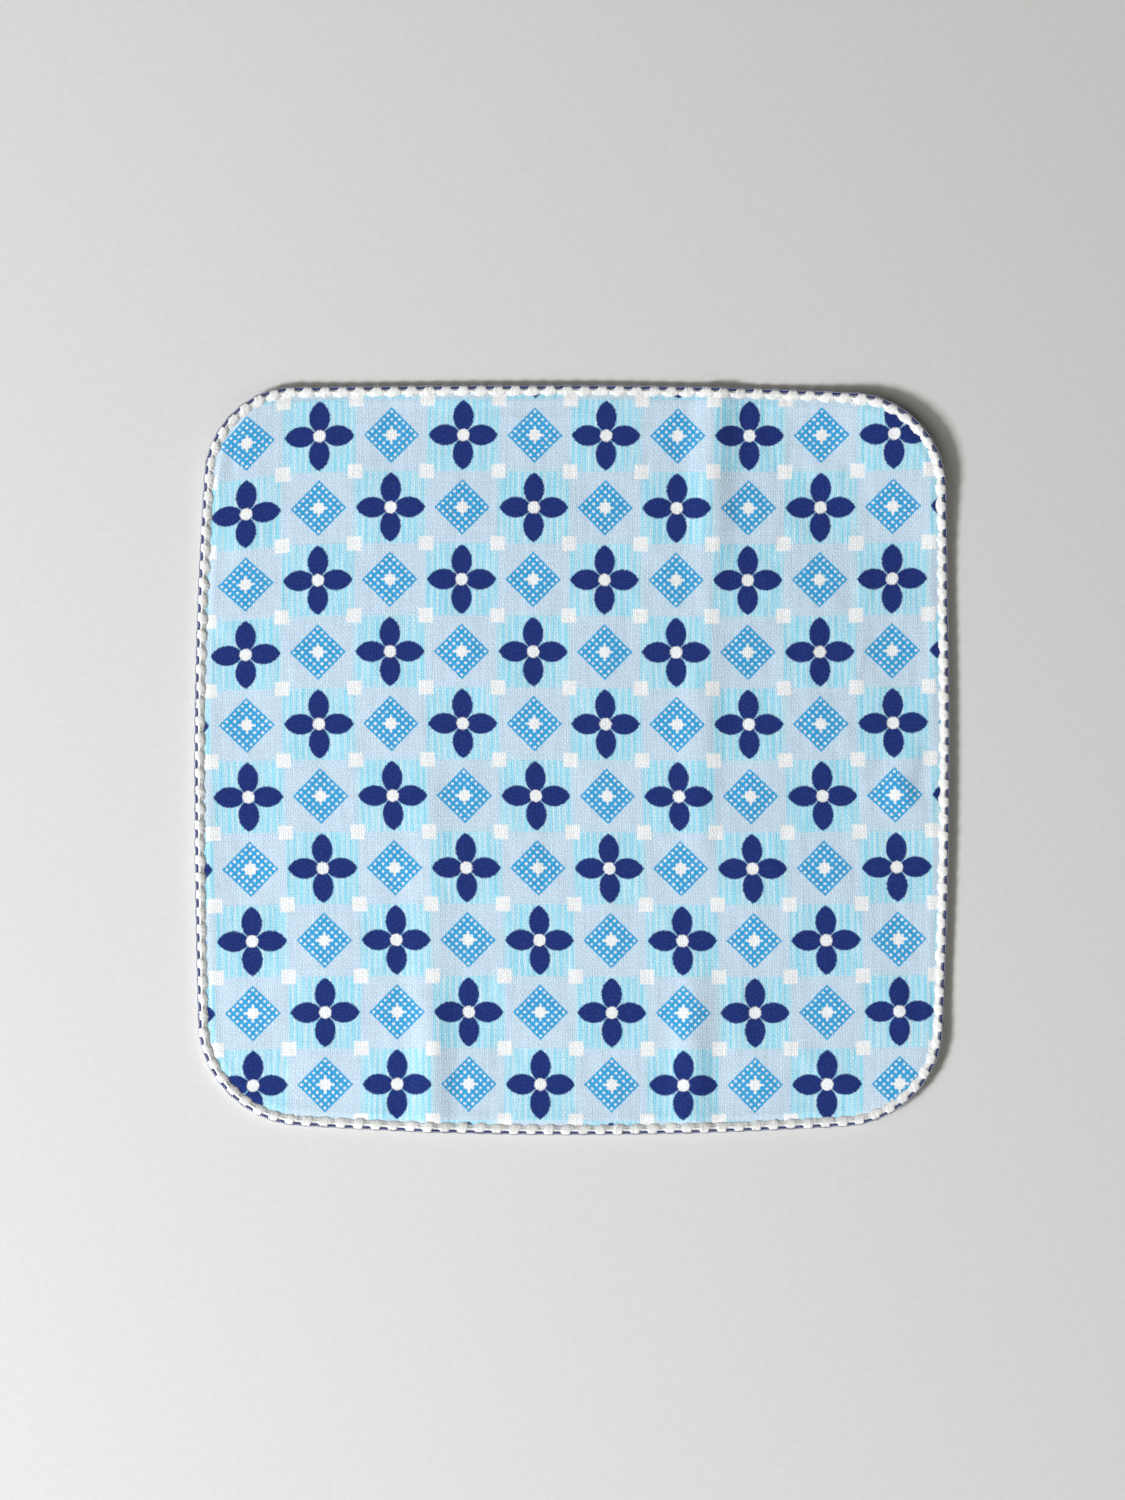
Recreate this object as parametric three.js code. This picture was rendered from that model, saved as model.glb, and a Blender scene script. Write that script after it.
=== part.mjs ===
// A square gauze handkerchief lying face up on a table, with round corners and a stitched edge.
// The cloth is one sheet: gauze on its face and short pile on its back. Over its edge goes a thick
// white overlocked edging, drawn up into lobes, and a thin navy thread runs along the outer side of
// that edging, inside the lobes and bare between them.
// Millimetres, +Z up. The origin is on the table, under the middle of the handkerchief.
// +X is the right-hand side and +Y the far side.

import * as THREE from "three";

// Size of the whole, measured over the lobes of the edging.
const WIDTH = 251.6;
const DEPTH = 249.8;

// The cloth is full thickness inside the hem line, and is pressed thinner where it is stitched.
const HEM = 8;
const CLOTH = { bottom: 0, top: 2.0 };
const STITCHED_CLOTH = { bottom: 1.0, top: 2.1 };
const STITCHED_FROM = 4.3;
const CLOTH_EDGE = 2.1;

// The edging, as insets from the outline and heights above the table.
const LOBES = 161;
const CLEARANCE = 0.3;
const LOBE = { lip: 0, toe: 3.8, crest: 2.9 };
const WAIST = { lip: 1.05, toe: 3.1, crest: 2.75 };
const CLOTH_SLOT_BACK = 1.65;
const TOE_THICKNESS = 0.25;
const LIP_BEVEL = 0.35;

// The navy thread, which lies in a slot of the edging.
const THREAD_RADIUS = 0.32;
const THREAD_INSET = 0.58;
const THREAD_HEIGHT = 1.57;
const THREAD_SIDES = 4;

// The corners aren't quite alike, and each lies a little inside the square: pullX and pullY are how
// far its two sides have drawn in there.
const CORNERS = [
  { name: "far left", side: -1, end: 1, radius: 29, pullX: 5.0, pullY: 1.0 },
  { name: "far right", side: 1, end: 1, radius: 31, pullX: 2.0, pullY: 4.0 },
  { name: "near right", side: 1, end: -1, radius: 32, pullX: 3.5, pullY: 4.5 },
  { name: "near left", side: -1, end: -1, radius: 33, pullX: 2.0, pullY: 5.0 },
];

// Soft swellings that lift the cloth off the table. x and y are the middle, lean is the angle in
// degrees that it runs at, from +Y towards +X, reach is half its length and half is half its width.
const SWELLINGS = [
  { name: "right crease, far part", x: 47, y: 100, lean: 3, reach: 68, half: 10, height: 1.5 },
  { name: "right crease, middle", x: 43, y: 6, lean: 2, reach: 60, half: 10, height: 0.8 },
  { name: "right crease, near part", x: 40, y: -100, lean: 1, reach: 52, half: 10, height: 1.3 },
  { name: "left crease, near part", x: -47, y: -104, lean: 1, reach: 50, half: 10, height: 1.5 },
  { name: "left crease, middle", x: -48, y: -40, lean: 0, reach: 62, half: 11, height: 0.7 },
  { name: "far right corner", x: 116, y: 114, lean: -45, reach: 62, half: 44, height: 3.2 },
  { name: "near right corner", x: 118, y: -112, lean: 45, reach: 48, half: 30, height: 1.4 },
  { name: "far left corner", x: -114, y: 112, lean: 45, reach: 46, half: 30, height: 1.2 },
  { name: "right side", x: 126, y: 4, lean: 0, reach: 104, half: 22, height: 0.5 },
  { name: "far side", x: -20, y: 125, lean: 90, reach: 104, half: 20, height: 0.3 },
  { name: "dent beside the right edge", x: 110, y: -4, lean: 18, reach: 20, half: 8, height: 0.8 },
  { name: "left side", x: -126, y: -30, lean: 0, reach: 84, half: 18, height: 0.5 },
  { name: "near side", x: 0, y: -125, lean: 90, reach: 88, half: 18, height: 0.5 },
];

// Lines of the cloth's grid: close together at the creases and the round corners.
const COARSE_STEP = 16;
const FINE_STEP = 4.2;
const BETWEEN_STEP = 6.7;
const CREASES = [-47, 43.5];
const CREASE_REACH = 12;
const ROUND_REACH = 25;

// Spacing of the outline's points, and into how many lengths it is measured.
const OUTLINE_STEP = 2;
const OUTLINE_PRECISION = 4000;

const COTTON = { blue: 0x9fc9e6, white: 0xf3f4f2, navy: 0x1f2f6e };

const hemLine = { x: WIDTH / 2 - HEM, y: DEPTH / 2 - HEM };

function bell(t) {
  return Math.abs(t) < 1 ? 0.5 + 0.5 * Math.cos(Math.PI * t) : 0;
}

// Height of the cloth's underside above the table, hem apart.
function lift(x, y) {
  let height = 0;
  for (const fold of SWELLINGS) {
    const lean = THREE.MathUtils.degToRad(fold.lean);
    const along = (x - fold.x) * Math.sin(lean) + (y - fold.y) * Math.cos(lean);
    const across = (x - fold.x) * Math.cos(lean) - (y - fold.y) * Math.sin(lean);
    height += fold.height * bell(along / fold.reach) * bell(across / fold.half);
  }
  return height;
}

// Takes a point of the rectangle inside the hem to where it lies: the rectangle's corners go
// round, and each corner is pulled in a little.
function lay(x, y) {
  const side = Math.sign(x) || 1;
  const end = Math.sign(y) || 1;
  const corner = CORNERS.find((c) => c.side === side && c.end === end);
  const round = corner.radius - HEM;
  const start = { x: hemLine.x - round, y: hemLine.y - round };
  let u = Math.abs(x);
  let v = Math.abs(y);
  if (u > start.x && v > start.y) {
    const a = (u - start.x) / round;
    const b = (v - start.y) / round;
    u = start.x + round * a * Math.sqrt(1 - (b * b) / 2);
    v = start.y + round * b * Math.sqrt(1 - (a * a) / 2);
  }
  const s = u / hemLine.x;
  const t = v / hemLine.y;
  return {
    x: side * (u - corner.pullX * s * t * t),
    y: end * (v - corner.pullY * t * s * s),
  };
}

// Positions of grid lines from -half to half.
function gridLines(half, creases) {
  const isFine = (at) =>
    half - Math.abs(at) < ROUND_REACH || creases.some((c) => Math.abs(at - c) < CREASE_REACH);
  const lines = [-half];
  while (half - lines.at(-1) > FINE_STEP) {
    const here = lines.at(-1);
    const outOfFine = isFine(here + COARSE_STEP) ? BETWEEN_STEP : COARSE_STEP;
    lines.push(here + (isFine(here + FINE_STEP / 2) ? FINE_STEP : outOfFine));
  }
  const stretch = (2 * half) / (lines.at(-1) + half);
  return lines.map((at) => (at + half) * stretch - half);
}

// Outward normals of a closed run of points that goes counterclockwise.
function normalsOf(points) {
  return points.map((_, k) => {
    const before = points.at(k - 1);
    const after = points[(k + 1) % points.length];
    return new THREE.Vector2(after.y - before.y, before.x - after.x).normalize();
  });
}

function meshOf(name, positions, triangles, colour, roughness) {
  const geometry = new THREE.BufferGeometry();
  geometry.setAttribute("position", new THREE.Float32BufferAttribute(positions, 3));
  geometry.setIndex(triangles);
  geometry.computeVertexNormals();
  const material = new THREE.MeshStandardMaterial({ color: colour, roughness, metalness: 0 });
  const mesh = new THREE.Mesh(geometry, material);
  mesh.name = name;
  return mesh;
}

// The cloth: a grid inside the hem line, then two rings of hem, with the same layout above and below.
function makeCloth() {
  const xs = gridLines(hemLine.x, CREASES);
  const ys = gridLines(hemLine.y, []);
  const at = (i, j) => j * xs.length + i;
  const points = ys.flatMap((y) => xs.map((x) => ({ ...lay(x, y), section: CLOTH })));
  const cells = [];
  for (let j = 0; j + 1 < ys.length; j++)
    for (let i = 0; i + 1 < xs.length; i++)
      cells.push([at(i, j), at(i + 1, j), at(i + 1, j + 1), at(i, j + 1)]);

  const lastX = xs.length - 1;
  const lastY = ys.length - 1;
  const rim = [
    ...xs.slice(0, -1).map((_, i) => at(i, 0)),
    ...ys.slice(0, -1).map((_, j) => at(lastX, j)),
    ...xs.slice(0, -1).map((_, i) => at(lastX - i, lastY)),
    ...ys.slice(0, -1).map((_, j) => at(0, lastY - j)),
  ];
  const normals = normalsOf(rim.map((k) => points[k]));
  let inner = rim;
  for (const inset of [STITCHED_FROM, CLOTH_EDGE]) {
    const outer = rim.map((k, n) => {
      const out = normals[n].clone().multiplyScalar(HEM - inset);
      points.push({ x: points[k].x + out.x, y: points[k].y + out.y, section: STITCHED_CLOTH });
      return points.length - 1;
    });
    outer.forEach((k, n) => {
      const next = (n + 1) % outer.length;
      cells.push([inner[n], k, outer[next], inner[next]]);
    });
    inner = outer;
  }

  const heights = points.map((p) => lift(p.x, p.y));
  const positions = ["top", "bottom"].flatMap((face) =>
    points.flatMap((p, k) => [p.x, p.y, heights[k] + p.section[face]]),
  );
  const below = points.length;
  const triangles = cells.flatMap(([a, b, c, d]) => [
    ...[a, b, c, a, c, d],
    ...[below + a, below + c, below + b, below + a, below + d, below + c],
  ]);
  inner.forEach((a, n) => {
    const b = inner[(n + 1) % inner.length];
    triangles.push(below + a, below + b, b, below + a, b, a);
  });
  return meshOf("cloth", positions, triangles, COTTON.blue, 0.95);
}

// The outline of the whole, as a closed curve that goes counterclockwise from the near left corner.
function makeOutline() {
  const along = (half) => {
    const count = Math.round((2 * half) / OUTLINE_STEP);
    return Array.from({ length: count }, (_, k) => -half + (2 * half * k) / count);
  };
  const rim = [
    ...along(hemLine.x).map((x) => lay(x, -hemLine.y)),
    ...along(hemLine.y).map((y) => lay(hemLine.x, y)),
    ...along(hemLine.x).map((x) => lay(-x, hemLine.y)),
    ...along(hemLine.y).map((y) => lay(-hemLine.x, -y)),
  ];
  const normals = normalsOf(rim);
  const points = rim.map(
    (p, n) => new THREE.Vector3(p.x + normals[n].x * HEM, p.y + normals[n].y * HEM, 0),
  );
  const curve = new THREE.CatmullRomCurve3(points, true);
  curve.arcLengthDivisions = OUTLINE_PRECISION;
  return curve;
}

// A closed ring with the given section at each station along the outline. sectionAt gives its
// points as { inset, z }, counterclockwise as seen along the outline.
function makeRing(name, outline, stations, sectionAt, colour, roughness) {
  const sides = sectionAt(0).length;
  const positions = [];
  const triangles = [];
  for (let k = 0; k < stations; k++) {
    const place = outline.getPointAt(k / stations);
    const run = outline.getTangentAt(k / stations);
    for (const { inset, z } of sectionAt(k)) {
      const x = place.x - run.y * inset;
      const y = place.y + run.x * inset;
      positions.push(x, y, z + lift(x, y));
    }
  }
  for (let k = 0; k < stations; k++)
    for (let side = 0; side < sides; side++) {
      const here = k * sides;
      const ahead = ((k + 1) % stations) * sides;
      const next = (side + 1) % sides;
      triangles.push(here + side, here + next, ahead + next);
      triangles.push(here + side, ahead + next, ahead + side);
    }
  return meshOf(name, positions, triangles, colour, roughness);
}

// The edging wraps the cloth's edge from above and below, and its outer side holds the thread.
function makeEdging(outline) {
  const threadSlot = THREAD_RADIUS + CLEARANCE;
  const cloth = {
    low: STITCHED_CLOTH.bottom - CLEARANCE,
    high: STITCHED_CLOTH.top + CLEARANCE,
  };
  return makeRing("edging", outline, LOBES * 2, (k) => {
    const { lip, toe, crest } = k % 2 ? WAIST : LOBE;
    return [
      { inset: toe, z: 0 },
      { inset: toe, z: cloth.low },
      { inset: CLOTH_SLOT_BACK, z: cloth.low },
      { inset: CLOTH_SLOT_BACK, z: cloth.high },
      { inset: toe, z: cloth.high },
      { inset: toe, z: cloth.high + TOE_THICKNESS },
      { inset: (lip + toe) / 2, z: crest },
      { inset: lip + LIP_BEVEL, z: crest - LIP_BEVEL },
      { inset: lip, z: THREAD_HEIGHT + threadSlot },
      { inset: THREAD_INSET + threadSlot, z: THREAD_HEIGHT + threadSlot },
      { inset: THREAD_INSET + threadSlot, z: THREAD_HEIGHT - threadSlot },
      { inset: lip, z: THREAD_HEIGHT - threadSlot },
      { inset: lip + LIP_BEVEL, z: 0 },
    ];
  }, COTTON.white, 0.9);
}

function makeThread(outline) {
  const section = Array.from({ length: THREAD_SIDES }, (_, side) => {
    const turn = (2 * Math.PI * side) / THREAD_SIDES;
    return {
      inset: THREAD_INSET + THREAD_RADIUS * Math.cos(turn),
      z: THREAD_HEIGHT + THREAD_RADIUS * Math.sin(turn),
    };
  });
  return makeRing("edge_thread", outline, LOBES * 2, () => section, COTTON.navy, 0.8);
}

const outline = makeOutline();
const handkerchief = new THREE.Group();
handkerchief.add(makeCloth(), makeEdging(outline), makeThread(outline));

export default handkerchief;
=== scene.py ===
# A square gauze handkerchief lying face up on a pale table, seen from straight above.
# The cloth is one soft sheet on the folds of its solid, printed on its gauze face. Its edge is
# overlocked with fluffy white yarn, and a twisted navy thread shows between the lobes. A fine thread
# of a white and a navy ply runs along the rim, outside the navy one.
# Lengths are millimetres until make_mesh turns them into metres, and heights are above the table. Far is
# +Y and right is +X, as the photograph shows them.

import math

import bpy
import numpy as np
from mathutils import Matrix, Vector, noise


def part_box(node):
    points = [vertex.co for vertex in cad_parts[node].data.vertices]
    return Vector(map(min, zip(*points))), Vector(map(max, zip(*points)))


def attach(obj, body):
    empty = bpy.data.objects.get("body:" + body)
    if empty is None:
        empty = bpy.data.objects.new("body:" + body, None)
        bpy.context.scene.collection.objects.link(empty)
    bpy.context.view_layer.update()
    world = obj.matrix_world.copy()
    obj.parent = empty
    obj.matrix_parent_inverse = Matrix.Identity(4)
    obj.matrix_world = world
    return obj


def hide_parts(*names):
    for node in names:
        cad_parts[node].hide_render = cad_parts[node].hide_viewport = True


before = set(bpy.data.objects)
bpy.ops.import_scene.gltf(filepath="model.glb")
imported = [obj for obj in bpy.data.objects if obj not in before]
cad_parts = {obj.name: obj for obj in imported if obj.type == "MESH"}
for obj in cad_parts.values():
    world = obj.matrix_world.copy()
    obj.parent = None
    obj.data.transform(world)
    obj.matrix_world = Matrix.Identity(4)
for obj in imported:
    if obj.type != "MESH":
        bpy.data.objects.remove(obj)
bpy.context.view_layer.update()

MM = 0.001
SEED = 41
rng = np.random.default_rng(SEED)

# Size of the whole, over the lobes of the edging.
edging_low, edging_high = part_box("edging")
WIDTH = (edging_high[0] - edging_low[0]) / MM
DEPTH = (edging_high[1] - edging_low[1]) / MM

# The edging and its fibres reach no lower than this.
LEAST_HEIGHT = 0.02

# The outline is worked out from points this far apart, and its normals from this share of its length
# to each side.
OUTLINE_STEP = 0.5
NORMAL_REACH = 0.0004

# The cloth: full thickness inside the hem line, pressed thin where it is stitched. The rows run from
# the hem line to the cut edge, and inset is measured from the outline of the whole.
HEM = 8
CLOTH_EDGE = 2.1
GRID_STEP = 1.25
HEM_ROWS = (
    {"inset": HEM, "top": 2.02, "bottom": 0.0},
    {"inset": 7.0, "top": 2.08, "bottom": 0.12},
    {"inset": 6.0, "top": 2.16, "bottom": 0.35},
    {"inset": 5.1, "top": 2.18, "bottom": 0.70},
    {"inset": 4.3, "top": 2.04, "bottom": 0.98},
    {"inset": 3.4, "top": 1.94, "bottom": 1.02},
    {"inset": CLOTH_EDGE, "top": 1.92, "bottom": 1.05},
)

# The corners, by the signs of their x and y. They aren't quite alike: pull is how far the two sides have
# drawn in there.
CORNERS = {
    (-1, 1): {"radius": 29, "pull": (5.0, 1.0)},
    (1, 1): {"radius": 31, "pull": (2.0, 4.0)},
    (1, -1): {"radius": 32, "pull": (3.5, 4.5)},
    (-1, -1): {"radius": 33, "pull": (2.0, 5.0)},
}

# Soft swellings of the cloth, as its solid has them. x and y are the middle, lean is the angle in
# degrees that it runs at, from +Y towards +X, reach is half its length and half is half its width.
SWELLINGS = (
    {"x": 47, "y": 100, "lean": 3, "reach": 68, "half": 10, "height": 1.5},
    {"x": 43, "y": 6, "lean": 2, "reach": 60, "half": 10, "height": 0.8},
    {"x": 40, "y": -100, "lean": 1, "reach": 52, "half": 10, "height": 1.3},
    {"x": -47, "y": -104, "lean": 1, "reach": 50, "half": 10, "height": 1.5},
    {"x": -48, "y": -40, "lean": 0, "reach": 62, "half": 11, "height": 0.7},
    {"x": 116, "y": 114, "lean": -45, "reach": 62, "half": 44, "height": 3.2},
    {"x": 118, "y": -112, "lean": 45, "reach": 48, "half": 30, "height": 1.4},
    {"x": -114, "y": 112, "lean": 45, "reach": 46, "half": 30, "height": 1.2},
    {"x": 126, "y": 4, "lean": 0, "reach": 104, "half": 22, "height": 0.5},
    {"x": -20, "y": 125, "lean": 90, "reach": 104, "half": 20, "height": 0.3},
    {"x": 110, "y": -4, "lean": 18, "reach": 20, "half": 8, "height": 0.8},
    {"x": -126, "y": -30, "lean": 0, "reach": 84, "half": 18, "height": 0.5},
    {"x": 0, "y": -125, "lean": 90, "reach": 88, "half": 18, "height": 0.5},
)

# Small creases and dents of the face, too fine for the solid.
CREASES = (
    {"x": -118, "y": 96, "lean": 12, "reach": 14, "half": 4.5, "height": 0.45},
    {"x": -108, "y": 72, "lean": 50, "reach": 15, "half": 6, "height": 0.40},
    {"x": -114, "y": 46, "lean": 30, "reach": 14, "half": 5, "height": 0.30},
    {"x": 87, "y": 92, "lean": -30, "reach": 18, "half": 8, "height": 0.45},
    {"x": 111, "y": -12, "lean": -35, "reach": 13, "half": 6, "height": 0.40},
    {"x": 109, "y": -83, "lean": -40, "reach": 12, "half": 6, "height": 0.40},
    {"x": 62, "y": 108, "lean": -8, "reach": 22, "half": 5, "height": 0.25},
    {"x": 96, "y": 44, "lean": 4, "reach": 30, "half": 5, "height": 0.22},
    {"x": 78, "y": 30, "lean": -3, "reach": 34, "half": 4, "height": 0.18},
    {"x": 12, "y": -108, "lean": -12, "reach": 24, "half": 5, "height": 0.20},
    {"x": -10, "y": 114, "lean": 84, "reach": 60, "half": 4, "height": 0.20},
    {"x": -84, "y": -98, "lean": 38, "reach": 26, "half": 7, "height": 0.25},
    {"x": 84, "y": -104, "lean": -52, "reach": 22, "half": 6, "height": 0.28},
)

# The finest relief of the face is layers of smooth noise. across and along are the lengths along X and Y
# that a layer changes over. The relief fades to its least share near the outline, and the puckers grow
# from their least share towards the far right.
RELIEF = (
    {"height": 0.16, "across": 17, "along": 26, "seed": 3.1},
    {"height": 0.13, "across": 6.5, "along": 13, "seed": 7.7},
)
PUCKERS = {"height": 0.15, "across": 2.9, "along": 6.5, "seed": 1.3}
PUCKERS_AT_RIGHT = {"start": -20, "span": 90}
PUCKERS_AT_FAR = {"start": -90, "span": 120}
LEAST_PUCKERS = 0.5
RELIEF_FADE = {"start": 3, "span": 6, "least": 0.15}

# The edging at a lobe and at a waist between two lobes. crest is its height. The others are insets from
# the outline: lip is its outer side, toe its inner one, and foot its underside, which reaches out below
# the threads. The steep sides of a lobe lie over this part of the sway between waist and lobe.
LOBES = 161
STATIONS_A_LOBE = 28
LOBE = {"lip": 0.12, "toe": 3.72, "crest": 2.85, "foot": 0.30}
WAIST = {"lip": 1.14, "toe": 3.14, "crest": 2.70, "foot": 0.60}
LOBE_SIDES = {"low": 0.26, "span": 0.38}

# How much a lobe differs from the next one, and the heights of what makes its yarn uneven: the turns of
# the yarn, its lumps, its fuzz and the curls of its toe. slant is how far a turn runs along the edge. A
# slit parts two lobes, and it is deeper at the far side. Light passes this far inside the yarn.
LOBE_SPREAD = {"lip": (-0.04, 0.20), "toe": (-0.2, 0.2), "crest": (-0.16, 0.06)}
YARN = {"turns_a_lobe": 8, "turn": 0.02, "lump": 0.13, "fuzz": 0.13, "slant": 0.9}
YARN_GRAIN = {"lump": 1.5, "fuzz": 3.7}
CURL = {"height": 0.25, "pitch": 1.25, "seed": 5.5}
SLIT = {"half_share": 0.07, "depth": 0.05, "far_depth": 0.20, "far_y": 90}
YARN_LIGHT_REACH = 1.5

# The two twisted threads of the edge. insets are at the lobes and at the waists between them. ply is the
# radius of a ply as a share of the thread's, and twist is the length of one turn. The lag, a share of a
# lobe, is how far the threads' sway trails the lobes.
NAVY_THREAD = {"radius": 0.38, "ply": 0.56, "twist": 1.25, "height": 2.26, "insets": (0.80, 1.00)}
RIM_THREAD = {"radius": 0.24, "ply": 0.62, "twist": 0.84, "height": 2.22, "insets": (0.22, 0.46)}
THREAD_LAG = 0.06
THREAD_SIDES = 4
STATIONS_A_TURN = 5

# The loose fibres of the edging. They stand on an arc over its top, from near its toe to near its lip, in
# shares of a half turn. facing is a fixed direction that the sides of each fibre are turned by. The spread
# is how uneven their directions are. The taper is pairs of a share of the length and a share of the radius.
FIBRES = 9000
FIBRE = {"radius": 0.035, "lengths": (0.3, 0.9), "bend": 0.35, "sides": 3, "facing": (0.3, 0.5, 0.8)}
FIBRE_ARC = {"start": 0.05, "span": 0.85, "width": 0.9, "foot": 1.6, "drop": 1.75}
FIBRE_SPREAD = {"out": 0.45, "side": 0.7, "up": 0.25}
FIBRE_LIFT = 0.8
FIBRE_TAPER = ((0, 1.0), (0.5, 0.8), (1.0, 0.3))

# The woven threads: warp threads run along Y and weft threads along X, and they wander this much from
# straight lines. The weights say what makes the height of the weave and the shade and tone of its colour.
# The height's share of the colour is painted shade, darker in the gaps between the threads; the streaks
# and blotches are the threads' own uneven tone.
WARP_PITCH = 0.78
WEFT_PITCH = 0.93
THREAD_WANDER = 1.8
HEIGHT_FROM = {"warp": 1.1, "weft": 0.55, "nap": 1.6, "base": 0.25}
SHADE_AND_TONE_FROM = {"height": 0.40, "warp": 0.30, "weft": 0.12, "blotch": 0.10, "base": 0.78}
FLECKS = {"low": 0.48, "high": 0.80, "share": 0.05}
WEAVE_DEPTH = 0.09

# How fast each noise of the face changes along X and along Y, per millimetre. The warp weight and the bare
# threads change from one warp thread to the next instead of along X, and the weft weight from one weft
# thread to the next instead of along Y.
RATES = {
    "warp_wander": (0.30, 0.10),
    "weft_wander": (0.10, 0.30),
    "warp_weight": (7.3, 0.2),
    "weft_weight": (0.2, 7.3),
    "nap": (2.2, 1.5),
    "bleed_u": (1.5, 1.1),
    "bleed_v": (1.3, 1.5),
    "bare": (5.1, 0.06),
    "stripe_wander": (0.08, 0.03),
    "warp_streaks": (1.15, 0.045),
    "weft_streaks": (0.05, 0.95),
    "blotches": (0.06, 0.06),
    "flecks": (2.3, 1.7),
}

# The print, a plain check with a small flower or a dotted lozenge in each square, and a white knot where
# four squares meet. A petal is a lens of two arcs. Colours bleed a little, and edges are soft over the
# given distance to each side. The shift sets the two noises of the bleed apart. The pinstripes of the aqua
# squares wander and fade in and out, and the bleed moves their bare threads by a share of a thread.
PRINT_SPAN = 260
CHECK = 24
CHECK_SOFTNESS = 0.06
BLEED = 0.9
BLEED_SHIFT = 40.0
PRINT_SOFTNESS = 0.32
DOT_SOFTNESS = 0.28
PETAL = {"middle": 6.1, "half_length": 5.5, "half_width": 3.5}
FLOWER_EYE = 2.0
LOZENGE = 9.3
LOZENGE_EYE = 2.4
KNOT_SQUARE = 2.4
DOT_PITCH = 2.6
DOT_RADIUS = 0.44
PINSTRIPE = {"pitch": 2.1, "wander": 2.0, "fade": 3.2, "bleed": 0.6}
PINSTRIPE_TONE = {"low": -1.0, "high": 1.2, "share": 0.52}

# The print lies on the cloth turned a little, drawn down at the far left, and swaying. A sway is its size,
# the length it changes over, and its start.
PRINT_TURN = math.radians(0.4)
PRINT_DROOP = {"depth": 5.0, "x": -128, "half": 26, "start_y": 10, "span_y": 110}
PRINT_SWAYS = {"along": (0.8, 38, 0.6), "across": (0.5, 52, 0), "down": (0.6, 44, 0)}

INK = {
    "navy": (0.008, 0.026, 0.175),
    "blue": (0.034, 0.350, 0.690),
    "aqua": (0.290, 0.690, 0.880),
    "grey_blue": (0.560, 0.705, 0.840),
    "white": (0.860, 0.875, 0.895),
}
SPECULAR = 0.12
SHEEN_ROUGHNESS = 0.6
PILE_TONE = {"loops": 0.35, "base": 0.76}
WHITE_YARN_COLOUR = (0.81, 0.81, 0.80)
NAVY_THREAD_COLOUR = (0.026, 0.048, 0.21)
TABLE_COLOUR = (0.655, 0.652, 0.648)
TABLE_TONE = {"grain": 0.10, "base": 0.95}
TABLE_HALF = 3000

# The lamps, in metres and watts. The key stands low at the near left.
KEY_TURN = math.radians(28)
KEY_ELEVATION = math.radians(36)
KEY_AWAY = 2.3
KEY_PLACE = (
    -KEY_AWAY * math.cos(KEY_ELEVATION) * math.cos(KEY_TURN),
    -KEY_AWAY * math.cos(KEY_ELEVATION) * math.sin(KEY_TURN),
    KEY_AWAY * math.sin(KEY_ELEVATION),
)
WARM = (1.0, 0.98, 0.88)
LAMPS = (
    {"name": "key", "place": KEY_PLACE, "size": 0.5, "power": 63, "colour": (0.985, 1.0, 1.04)},
    {"name": "left_fill", "place": (-1.6, 0, 1.6), "size": 1.4, "power": 14, "colour": WARM},
    {"name": "near_fill", "place": (0.4, -1.6, 1.6), "size": 1.6, "power": 11, "colour": WARM},
)
ROOM_COLOUR = (1.0, 0.97, 0.85)
ROOM_STRENGTH = 0.05

# The photograph's frame is 500 mm high, and its middle lies a little up and left of the cloth's.
FRAME_HEIGHT = 500
CAMERA_HEIGHT = 1200
CAMERA_OFFSET = (-3.17, 3.33)
SENSOR = 36


def bell(t):
    """1 at 0, falling to 0 at -1 and 1."""
    return np.where(np.abs(t) < 1, 0.5 + 0.5 * np.cos(np.pi * np.clip(t, -1, 1)), 0)


def swell(folds, x, y):
    """Height that a table of folds adds at x, y."""
    height = np.zeros_like(x)
    for fold in folds:
        lean = math.radians(fold["lean"])
        along = (x - fold["x"]) * math.sin(lean) + (y - fold["y"]) * math.cos(lean)
        across = (x - fold["x"]) * math.cos(lean) - (y - fold["y"]) * math.sin(lean)
        height += fold["height"] * bell(along / fold["reach"]) * bell(across / fold["half"])
    return height


def lift(x, y):
    """Height of the folds of the cloth at x, y."""
    return swell(SWELLINGS, x, y)


def rise(x, start, span):
    """0 up to start and 1 from start and span on, with a straight slope between."""
    return np.clip((x - start) / span, 0, 1)


def ripple(x, y, layer):
    """The height that a layer of smooth noise adds at x, y."""
    places = zip(x / layer["across"], y / layer["along"])
    return layer["height"] * np.array([noise.noise(Vector((a, b, layer["seed"]))) for a, b in places])


def lay(x, y):
    """Takes points of the rectangle inside the hem to where they lie, as the solid does."""
    half_x = WIDTH / 2 - HEM
    half_y = DEPTH / 2 - HEM
    laid_x = np.empty_like(x)
    laid_y = np.empty_like(y)
    for (side, end), corner in CORNERS.items():
        here = (np.where(x < 0, -1, 1) == side) & (np.where(y < 0, -1, 1) == end)
        u = np.abs(x[here])
        v = np.abs(y[here])
        bend = corner["radius"] - HEM
        a = (u - (half_x - bend)) / bend
        b = (v - (half_y - bend)) / bend
        curved = (a > 0) & (b > 0)
        a, b = a[curved], b[curved]
        u[curved] = half_x - bend + bend * a * np.sqrt(1 - b * b / 2)
        v[curved] = half_y - bend + bend * b * np.sqrt(1 - a * a / 2)
        s = u / half_x
        t = v / half_y
        laid_x[here] = side * (u - corner["pull"][0] * s * t * t)
        laid_y[here] = end * (v - corner["pull"][1] * t * s * s)
    return laid_x, laid_y


def normals_of(x, y):
    """Outward normals of a closed run of points that goes counterclockwise."""
    run_x = np.roll(x, -1) - np.roll(x, 1)
    run_y = np.roll(y, -1) - np.roll(y, 1)
    length = np.hypot(run_x, run_y)
    return run_y / length, -run_x / length


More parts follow.
